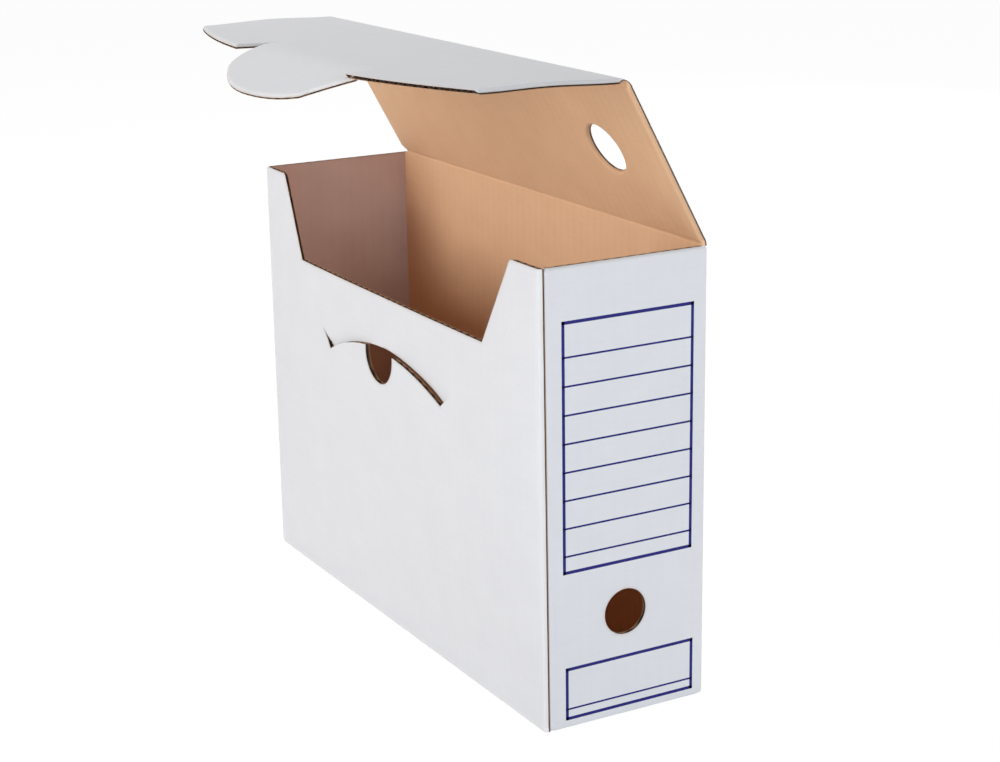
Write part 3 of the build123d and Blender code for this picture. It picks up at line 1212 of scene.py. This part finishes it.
    def front_wall(self) -> Panel:
        """Front wall with its access notch, lock slit and pinched raw end."""
        foot, top, notch = STOCK.thickness, self.height, self.height - self.notch_depth
        near, far, r = self.half_length, -self.inner_length, self.ear_radius
        high, low = near - self.ear_top, near - self.ear_foot
        lean = math.degrees(math.atan2(self.notch_depth, high - low))
        back = r * math.tan(math.radians(lean) / 2)
        side = np.array([low - high, notch - top]) / math.hypot(low - high, notch - top)
        edge = Outline().line((far, foot), (near, foot), Edge.CREASE, STOCK.crease_step)
        edge.line((near, foot), (near, top), Edge.PINCHED, STOCK.side_step)
        edge.line((near, top), (high + back, top), Edge.CUT)
        edge.run(bow((high + back, top - r), r, 90, 90 + lean, STOCK.round_step), Edge.CUT)
        edge.line(np.array([high, top]) + side * back, (low, notch), Edge.CUT)
        edge.line((low, notch), (-low, notch), Edge.CUT)
        edge.line((-low, notch), np.array([-high, top]) + side * (-back, back), Edge.TRIMMED)
        edge.run(bow((-high - back, top - r), r, 90 - lean, 90, STOCK.round_step), Edge.TRIMMED)
        edge.line((-high - back, top), (far, top), Edge.CUT)
        edge.line((far, top), (far, foot), Edge.CREASE, STOCK.crease_step)
        plane = BoardPlane((0, STOCK.half - self.half_depth, 0), (1, 0, 0), (0, -1, 0))
        loops = [edge, self.slit()]
        return Panel(
            "front_wall", "box", plane, loops, self.front_warp, grid=self.front_grid, row=self.front_row
        )

    def upright(
        self,
        name: str,
        plane: BoardPlane,
        sides: tuple[float, float],
        foot: float,
        top: Edge,
        lean: float = 0.0,
    ) -> Panel:
        """Plain wall between two corner folds.

        Args:
            name: Panel's name.
            plane: Its plane.
            sides: Its left and right edges.
            foot: Its lower edge.
            top: Kind of its upper edge.
            lean: How far its left edge leans out at the top.

        Returns:
            The panel.
        """
        left, right = sides
        corners = [
            ((left, foot), Edge.CREASE),
            ((right, foot), Edge.CREASE),
            ((right, self.height), top),
            ((left - lean, self.height), Edge.CREASE),
        ]
        return Panel(name, "box", plane, [Outline().through(corners)])

    def walls(self) -> list[Panel]:
        """All four walls and the glue flap."""
        x, y = self.inner_length, self.inner_depth
        out = self.half_length - STOCK.half
        plane = BoardPlane((0, self.half_depth - STOCK.half, 0), (-1, 0, 0), (0, 1, 0))
        back = self.upright("back_wall", plane, (-x, x), STOCK.thickness, Edge.CREASE)
        plane = BoardPlane((out, 0, 0), (0, 1, 0), (1, 0, 0))
        spine = self.upright("spine_wall", plane, (self.seam, y), self.foot, Edge.PRESSED, self.splay)
        diameter, rise = self.spine_hole
        spine.loops.append(Outline().run(bow((0, rise), diameter / 2, 0, -360, STOCK.hole_step), Edge.CUT))
        plane = BoardPlane((-out, 0, 0), (0, -1, 0), (-1, 0, 0))
        end = self.upright("end_wall", plane, (-y, y), self.foot, Edge.PRESSED)
        # The end wall's inside takes the kraft copy with painted shade.
        end.inner = Finish.SHADED_KRAFT
        return [self.front_wall(), back, spine, end, self.glue_flap()]

    def glue_flap(self) -> Panel:
        """Glue flap, which follows the front wall that it is glued to."""
        low, high = self.foot + self.glue_flap_gap, self.height - self.glue_flap_gap
        left = self.inner_length - self.glue_flap_width
        corners = [
            ((self.inner_length, low), Edge.CREASE),
            ((self.inner_length, high), Edge.CUT),
            ((left, high - self.glue_flap_taper), Edge.CUT),
            ((left, low + self.glue_flap_taper), Edge.CUT),
        ]
        level = STOCK.half - self.half_depth + STOCK.thickness + self.glue_film
        plane = BoardPlane((0, level, 0), (1, 0, 0), (0, -1, 0))
        return Panel("glue_flap", "box", plane, [Outline().through(corners)], self.front_warp)

    def bottom(self) -> list[Panel]:
        """Long pair of bottom flaps under the end pair, each tapered to its free edge."""
        x, y = self.inner_length, self.inner_depth
        long_pair = (STOCK.half, x - self.clearance, -y, -self.meeting_gap / 2)
        end_pair = (self.foot - STOCK.half, y - self.clearance, -x, self.end_flap_length - x)
        made = []
        for name, across, (level, half, root, tip) in (
            ("front", (-1, 0, 0), long_pair),
            ("back", (1, 0, 0), long_pair),
            ("spine", (0, -1, 0), end_pair),
            ("end", (0, 1, 0), end_pair),
        ):
            narrow = half - self.flap_taper
            corners = [
                ((-half, root), Edge.CREASE),
                ((half, root), Edge.CUT),
                ((narrow, tip), Edge.CUT),
                ((-narrow, tip), Edge.CUT),
            ]
            plane = BoardPlane((0, 0, level), across, (0, 0, -1))
            loops = [Outline().through(corners)]
            # The bottom flaps' inside takes the darker kraft copy, painted shade for the deep inside of the
            # box.
            made.append(Panel(f"bottom_{name}_flap", "box", plane, loops, inner=Finish.SHADED_BOTTOM_KRAFT))
        return made

    def folds(self) -> list[SquareFold]:
        """Corner folds and bottom folds."""
        x, y, t = self.inner_length, self.inner_depth, STOCK.thickness
        right, up, down = (1, 0, 0), (0, 0, 1), (0, 0, -1)
        tall, long = self.height - self.corner_foot, x + self.half_length
        leaning = (0, -self.splay / tall, 1)
        ends = (self.corner_wear, Edge.PRESSED.value[0])
        back = SquareFold("bottom_crease_back", (-x, y, t), (0, 1, 0), down, right, 2 * x)
        front = SquareFold("bottom_crease_front", (-x, -y, t), (0, -1, 0), down, right, long)
        front.last = Edge.PINCHED
        made = [back, front]
        for name, place, first, second, along in (
            ("front_end", (-x, -y), (-1, 0, 0), (0, -1, 0), up),
            ("back_end", (-x, y), (-1, 0, 0), (0, 1, 0), up),
            ("back_spine", (x, y), (1, 0, 0), (0, 1, 0), up),
            ("glue_flap", (x, self.seam), (1, 0, 0), (0, -1, 0), leaning),
        ):
            corner = (*place, self.corner_foot)
            made.append(SquareFold(f"corner_crease_{name}", corner, first, second, along, tall, ends=ends))
        for name, side, start in (("spine", 1, self.seam), ("end", -1, -y)):
            corner, node = (side * x, start, self.foot), f"bottom_crease_{name}"
            made.append(SquareFold(node, corner, (side, 0, 0), down, (0, 1, 0), y - start, drop=self.foot))
        return made


@dataclass
class Lid:
    """Lid panel, its front flap and the lock tongue, with the folds that join them."""

    half_length: float = 180.0
    hinge: tuple[float, float] = (51.0, 266.8)
    reach: float = 105.3
    open_angle: float = 61.4
    fold_angle: float = 61.4
    bend_angle: float = 20.0
    hinge_bend: float = 1.8
    flap_bend: float = 4.5
    flap_groove: float = 1.7
    tongue_bend: float = 9.0
    corner_relief: float = 4.0
    hole_diameter: float = 31.0
    hole_from_end: float = 59.0
    corner_depth: float = 93.0
    spine_corner_depth: float = 88.5
    shoulder_depth: float = 113.0
    shoulder_bow: float = 3.4
    shoulder_steps: int = 40
    notch_root_gap: float = 1.0
    notch_mouth_gap: float = 4.4
    tongue_crease: float = 97.5
    tongue_width: float = 144.0
    tongue_length: float = 46.0
    tongue_side: float = 8.0
    tongue_radius: float = 26.0
    tongue_round_step: float = 1.5
    tongue_snip: float = 51.0
    flap_bow: float = 1.2
    corner_lift: float = 1.5
    tip_curl: float = 1.6

    @staticmethod
    def plane_from(origin: Points, angle: float) -> BoardPlane:
        """Plane that leaves its fold towards the front, at an angle over the horizontal."""
        rise = math.radians(angle)
        return BoardPlane(tuple(origin), (-1, 0, 0), (0, math.sin(rise), math.cos(rise)))

    def __post_init__(self) -> None:
        """Works out the three planes from the folds' angles, and the notches' mouth."""
        flat = self.open_angle - self.fold_angle
        self.top_plane = self.plane_from(np.array([0.0, *self.hinge]), self.open_angle)
        self.flap_plane = self.plane_from(self.top_plane.place(0, self.reach, 0), flat)
        root = self.flap_plane.place(0, self.tongue_crease, 0)
        self.tongue_plane = self.plane_from(root, flat - self.bend_angle)
        self.mouth = self.tongue_width / 2 + self.notch_mouth_gap

    def top(self) -> Panel:
        """Lid panel with a relieved far hinge corner and a finger hole."""
        half, start, end = self.half_length, self.hinge_bend, self.reach - self.flap_bend
        relief = self.corner_relief
        corners = [
            ((-half, start), Edge.CREASE),
            ((half - relief, start), Edge.CUT),
            ((half, start + relief), Edge.TURNED),
            ((half, end), Edge.CREASE),
            ((-half, end), Edge.TURNED),
        ]
        centre = (self.hole_from_end - half, self.reach / 2)
        hole = Outline().run(bow(centre, self.hole_diameter / 2, 0, -360, STOCK.hole_step), Edge.TURNED)
        return Panel("lid_top", "lid", self.top_plane, [Outline().through(corners), hole])

    def shoulder(self, side: int) -> Points:
        """Bowed edge from the flap's corner to the notch's mouth, without its last point.

        Args:
            side: 1 for the far end, -1 for the end next to the spine.

        Returns:
            One row for each point.
        """
        depth = self.corner_depth if side > 0 else self.spine_corner_depth
        corner = np.array([side * self.half_length, depth])
        share = np.linspace(0, 1, self.shoulder_steps + 1)[:-1, None]
        chord = np.array([side * self.mouth, self.shoulder_depth]) - corner
        out = np.array([-chord[1], chord[0]]) / np.linalg.norm(chord) * -side
        return corner + share * chord + 4 * self.shoulder_bow * share * (1 - share) * out

    def flap_warp(self, u: Points, v: Points) -> Points:
        """Slight arch of the flap between its two folds, and the lift of its corner next to the spine.

        Args:
            u: Across the flutes.
            v: Along the flutes.

        Returns:
            Distance out of the white side.
        """
        bay = self.tongue_crease - self.tongue_bend
        share = np.clip((v - self.flap_bend) / (bay - self.flap_bend), 0, 1)
        out = np.clip((-u - self.mouth) / (self.half_length - self.mouth), 0, 1)
        return self.flap_bow * np.sin(np.pi * share) ** 2 + self.corner_lift * share**2 * out

    def flap(self) -> Panel:
        """Front flap with bowed shoulders, a notch each side of the tongue and a bay for its fold."""
        half, start, mouth = self.half_length, self.flap_bend, self.mouth
        side = self.tongue_width / 2
        root, foot = side + self.notch_root_gap, self.tongue_crease - STOCK.half
        bay, deep = self.tongue_crease - self.tongue_bend, self.shoulder_depth
        right, left = self.shoulder(1), self.shoulder(-1)
        edge = Outline().line((-half, start), (half, start), Edge.CREASE, STOCK.crease_step)
        edge.line((half, start), right[0], Edge.ROLLED, STOCK.side_step)
        edge.run(right, Edge.ROLLED)
        edge.line((mouth, deep), (root, foot), Edge.ROLLED)
        edge.line((root, foot), (side, foot), Edge.CREASE)
        edge.line((side, foot), (side, bay), Edge.CREASE)
        edge.line((side, bay), (-side, bay), Edge.CREASE, STOCK.crease_step)
        edge.line((-side, bay), (-side, foot), Edge.CREASE)
        edge.line((-side, foot), (-root, foot), Edge.CREASE)
        edge.line((-root, foot), (-mouth, deep), Edge.TRIMMED)
        edge.run(np.r_[[(-mouth, deep)], left[:0:-1]], Edge.TRIMMED)
        edge.line(left[0], (-half, start), Edge.ROLLED, STOCK.side_step)
        return Panel("lid_front_flap", "front_flap", self.flap_plane, [edge], self.flap_warp)

    def tongue_warp(self, u: Points, v: Points) -> Points:
        """Curl of the tongue's tip next to the spine, out of the white side."""
        out = np.clip((v - self.tongue_bend) / (self.tongue_length - self.tongue_bend), 0, 1)
        return -self.tip_curl * ease(-u, 0.0, self.tongue_snip) * out**2

    def tongue(self) -> Panel:
        """Lock tongue: straight sides under a three-centred arch, snipped at the corner next to the spine."""
        half, start, side, r = self.tongue_width / 2, self.tongue_bend, self.tongue_side, self.tongue_radius
        inset, rise = half - r, self.tongue_length - side
        wide = (inset**2 + rise**2 - r**2) / (2 * (rise - r))
        centre = self.tongue_length - wide
        lean = math.degrees(math.atan2(inset, side - centre))
        snip = math.asin(self.tongue_snip / wide)
        corner = (-self.tongue_snip, centre + wide * math.cos(snip))
        edge = Outline().line((-half, start), (half, start), Edge.CREASE, STOCK.crease_step)
        edge.line((half, start), (half, side), Edge.ROLLED)
        edge.run(bow((inset, side), r, 0, 90 - lean, self.tongue_round_step), Edge.ROLLED)
        edge.run(bow((0, centre), wide, 90 - lean, 90 + math.degrees(snip), STOCK.cut_step), Edge.ROLLED)
        edge.line(corner, (-half, start), Edge.ROLLED)
        return Panel("lock_tongue", "tongue", self.tongue_plane, [edge], self.tongue_warp)

    def panels(self) -> list[Panel]:
        """The lid's three panels."""
        return [self.top(), self.flap(), self.tongue()]

    def folds(self) -> list[TurningFold]:
        """Hinge along the back wall, flap fold and tongue fold."""
        half, side, relief = self.half_length, self.tongue_width / 2, self.corner_relief / 2
        level, height = self.hinge
        back = BoardPlane((0, level, 0), (-1, 0, 0), (0, 1, 0))
        hinge = TurningFold(
            "lid_hinge_crease",
            *(back, height, self.top_plane, self.hinge_bend, half - relief),
            bodies=("box", "lid"),
            ends=(Edge.TURNED, Edge.TURNED),
            middle=-relief,
        )
        flap = TurningFold(
            "lid_flap_crease",
            *(self.top_plane, self.reach, self.flap_plane, self.flap_bend, half),
            bodies=("lid", "front_flap"),
            ends=(Edge.TURNED, Edge.ROLLED),
            groove=self.flap_groove,
        )
        tongue = TurningFold(
            "lock_tongue_crease",
            *(self.flap_plane, self.tongue_crease, self.tongue_plane, self.tongue_bend, side),
            bodies=("front_flap", "tongue"),
            ends=(Edge.CREASE, Edge.ROLLED),
        )
        return [hinge, flap, tongue]


@dataclass(frozen=True)
class RuledFrame:
    """Printed frame with ruled lines, on the spine: sides, levels and strokes."""

    name: str
    left: float
    right: float
    low: float
    high: float
    first_rule: float
    rule_step: float
    rules: int
    stroke: float = 1.9
    rule_stroke: float = 1.1


class FrameTool(ShapeTree):
    """Draws a frame and its rules as ink bars, flat round the origin."""

    upright_detail: dict[str, int] = {"Vertices X": 2, "Vertices Y": 48}
    level_detail: dict[str, int] = {"Vertices X": 3, "Vertices Y": 4}

    def __init__(self) -> None:
        """Builds the tree once."""
        names = ("Width", "Height", "Stroke", "Rules", "First", "Step", "Rule Stroke", "Film")
        super().__init__("ruled_frame", names)
        sizes = self.inputs
        sides = self.edge_bars(sizes["Width"], sizes["Height"], True)
        ends = self.edge_bars(sizes["Height"], sizes["Width"], False)
        row = (sizes["Rules"], sizes["First"], sizes["Step"])
        self.close(self.join((sides, ends, self.bars(sizes["Width"], sizes["Rule Stroke"], False, row))))

    def bars(self, length: Any, stroke: Any, upright: bool, row: tuple[Any, Any, Any]) -> Any:
        """Adds a row of equal ink bars.

        Args:
            length: Socket with their length.
            stroke: Socket with their width.
            upright: Whether they stand.
            row: Their count, the first one's place and the step to the next.

        Returns:
            Output socket.
        """
        tree, (count, start, step) = self.tree, row
        axis, detail = (0, self.upright_detail) if upright else (1, self.level_detail)
        sides = {axis: stroke, 1 - axis: length, 2: self.inputs["Film"]}
        size, first, stride = (
            add_node(tree, "ShaderNodeCombineXYZ", values).outputs[0]
            for values in (sides, {axis: start}, {axis: step})
        )
        bar = add_node(tree, "GeometryNodeMeshCube", {"Size": size, **detail}).outputs[0]
        places = {"Count": count, "Start Location": first, "Offset": stride}
        line = add_node(tree, "GeometryNodeMeshLine", places).outputs[0]
        return add_node(tree, "GeometryNodeInstanceOnPoints", {"Points": line, "Instance": bar}).outputs[0]

    def edge_bars(self, full: Any, length: Any, upright: bool) -> Any:
        """Adds two bars along opposite sides of the frame.

        Args:
            full: Socket with the frame's size from side to side.
            length: Socket with the bars' length.
            upright: Whether they stand.

        Returns:
            Output socket.
        """
        stroke = self.inputs["Stroke"]
        gap = add_node(self.tree, MATH, {0: full, 1: stroke}, operation="SUBTRACT").outputs[0]
        start = add_node(self.tree, MATH, {0: gap, 1: -0.5}, operation="MULTIPLY").outputs[0]
        return self.bars(length, stroke, upright, (2, start, gap))


@dataclass
class SpinePrint:
    """Writing frames printed in blue on the spine."""

    plane: BoardPlane = BoardPlane((179.0, 0, 0), (0, 1, 0), (1, 0, 0))
    fold_top: float = 6.1
    fold_run: float = STOCK.thickness
    film: float = 0.04
    film_lift: float = 0.01
    frames: tuple[RuledFrame, ...] = (
        RuledFrame("spine_title_frame", -40.6, 44.2, 91.6, 235.1, 215.0, -16.14, 8),
        RuledFrame("spine_foot_frame", -39.3, 45.7, 4.5, 36.0, 11.1, -16.0, 1),
    )

    def on_spine(self, centre: Points, flat: Points) -> Points:
        """Lays a flat frame on the white face, which rounds under at the bottom fold.

        Args:
            centre: The frame's middle on the spine.
            flat: Places on the frame, from its middle.

        Returns:
            Places in the box.
        """
        u, v = (flat[:, :2] + centre).T
        under = (self.fold_top - v) / self.fold_top
        level = STOCK.half - self.fold_run * (1 - SquareFold.bend(under))
        return self.plane.place(u, v, flat[:, 2] + level + self.film_lift)

    def build(self) -> list[bpy.types.Object]:
        """Prints each frame on the spine's white face."""
        tool, made = FrameTool(), []
        for ruled in self.frames:
            centre = np.array([(ruled.left + ruled.right) / 2, (ruled.low + ruled.high) / 2])
            sizes = {
                "Width": ruled.right - ruled.left,
                "Height": ruled.high - ruled.low,
                "Stroke": ruled.stroke,
                "First": ruled.first_rule - centre[1],
                "Step": ruled.rule_step,
                "Rule Stroke": ruled.rule_stroke,
                "Film": self.film,
            }
            values = {name: size * MM for name, size in sizes.items()}
            piece = new_object(ruled.name, bpy.data.meshes.new(f"{ruled.name}_blank"))
            mesh = tool.run(piece, values | {"Rules": float(ruled.rules), "Material": Finish.INK.material})
            move_corners(mesh, partial(self.on_spine, centre))
            mesh.update()
            made.append(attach(piece, "box"))
        return made


# ---------------------------------------------------------------- studio


@dataclass(frozen=True)
class Softbox:
    """Square soft lamp: place and aim in metres, side, watts and tint."""

    name: str
    place: Place
    aim: Place
    size: float
    power: float
    colour: str = "#FFFFFF"

    def hang(self) -> None:
        """Hangs the lamp."""
        data = bpy.data.lights.new(self.name, "AREA")
        data.color = linear(self.colour)[:3]
        data.shape, data.size, data.energy = "SQUARE", self.size, self.power
        lamp = new_object(self.name, data)
        lamp.location = self.place
        lamp.rotation_euler = (Vector(self.aim) - Vector(self.place)).to_track_quat("-Z", "Y").to_euler()


@dataclass
class Studio:
    """Pale floor, soft light and the camera at the photograph's place, in metres."""

    eye: Place = (1.1110, -0.5972, 0.5160)
    right: Place = (0.4907, 0.8712, -0.0146)
    forward: Place = (-0.8391, 0.4680, -0.2774)
    lens: float = 76.18
    sensor: float = 36.0
    floor_half: float = 6.0
    floor_level: float = -2e-4
    floor_colour: str = "#F2F2F2"
    floor_glow: float = 1.07
    floor_glow_share: float = 0.88
    sky_light: float = 0.32
    lamps: tuple[Softbox, ...] = (
        Softbox("front_softbox", (0.0, -1.9, 0.55), (0.0, 0.0, 0.18), 1.1, 19.4),
        Softbox("top_softbox", (-1.1, 0.3, 1.7), (0.0, 0.0, 0.2), 1.0, 9.8),
        Softbox("low_side_softbox", (2.2, 0.1, 0.12), (0.0, 0.0, 0.12), 0.24, 7.5),
        Softbox("window", (2.2, -0.2, 0.72), (0.0, 0.0, 0.24), 0.5, 12.4, "#E6F3FF"),
        Softbox("rear_softbox", (-0.9, 2.0, 0.5), (0.0, 0.0, 0.18), 1.2, 13.0),
    )

    def camera(self) -> None:
        """Places the camera."""
        data = bpy.data.cameras.new("photo_camera")
        data.lens, data.sensor_width, data.sensor_fit = self.lens, self.sensor, "HORIZONTAL"
        view = new_object("photo_camera", data)
        back, side = -Vector(self.forward).normalized(), Vector(self.right).normalized()
        turn = Matrix((side, back.cross(side), back)).transposed().to_4x4()
        view.matrix_world = Matrix.Translation(self.eye) @ turn
        bpy.context.scene.camera = view

    def floor(self) -> None:
        """Lays the floor, which the camera sees near white with the box's soft shadow."""
        mesh = bpy.data.meshes.new("studio_floor")
        signs = ((-1, -1), (1, -1), (1, 1), (-1, 1))
        corners = [(x * self.floor_half, y * self.floor_half, self.floor_level) for x, y in signs]
        mesh.from_pydata(corners, [], [(0, 1, 2, 3)])
        material = bpy.data.materials.new("white_studio_paper")
        tree = clear_tree(material)
        matt = add_node(tree, "ShaderNodeBsdfDiffuse", {"Color": linear(self.floor_colour)}).outputs[0]
        glow = add_node(tree, "ShaderNodeEmission", {"Color": WHITE, "Strength": self.floor_glow}).outputs[0]
        seen = add_node(tree, "ShaderNodeLightPath").outputs["Is Camera Ray"]
        share = add_node(tree, MATH, {0: seen, 1: self.floor_glow_share}, operation="MULTIPLY").outputs[0]
        both = add_node(tree, "ShaderNodeMixShader", {0: share, 1: matt, 2: glow}).outputs[0]
        add_node(tree, "ShaderNodeOutputMaterial", {"Surface": both})
        mesh.materials.append(material)
        new_object("studio_floor", mesh)

    def sky(self) -> None:
        """Even pale light from all round, white where the camera looks past the floor."""
        world = bpy.data.worlds.new("studio_world")
        bpy.context.scene.world = world
        tree = clear_tree(world)
        path = add_node(tree, "ShaderNodeLightPath").outputs
        clear = path["Is Camera Ray"]
        for ray in ("Is Glossy Ray", "Is Transmission Ray"):
            clear = add_node(tree, MATH, {0: clear, 1: path[ray]}, operation="MAXIMUM").outputs[0]
        strength = add_node(tree, RANGE, {0: clear, 3: self.sky_light, 4: 1.0}).outputs[0]
        light = add_node(tree, "ShaderNodeBackground", {"Color": WHITE, "Strength": strength}).outputs[0]
        add_node(tree, "ShaderNodeOutputWorld", {"Surface": light})

    def build(self) -> None:
        """Sets up the whole studio."""
        self.camera()
        self.floor()
        self.sky()
        for lamp in self.lamps:
            lamp.hang()
        bpy.context.scene.view_settings.view_transform = "Standard"


def dress_kept_nodes() -> None:
    """Gives the glue films, which keep their solids, their finish."""
    for name in ("seam_glue_strip", "bottom_glue_strips"):
        piece = frame["nodes"][name]
        piece.data.materials.clear()
        piece.data.materials.append(Finish.GLUE.material)
        LOG.info("%s keeps its solid", name)


def main() -> None:
    """Builds the box piece by piece and sets the studio around it."""
    logging.basicConfig(level=logging.INFO, format="%(message)s")
    tool = FluteTool()
    box, lid = BoxBody(), Lid()
    pieces: list[bpy.types.Object] = []
    for panel in [*box.walls(), *box.bottom(), *lid.panels()]:
        pieces += panel.build(tool)
    for fold in [*box.folds(), *lid.folds()]:
        pieces.append(fold.build())
    pieces += SpinePrint().build()
    for piece in pieces:
        LOG.info("%s has %d faces", piece.name, len(piece.data.polygons))
    dress_kept_nodes()
    Studio().build()


if __name__ == "__main__":
    main()
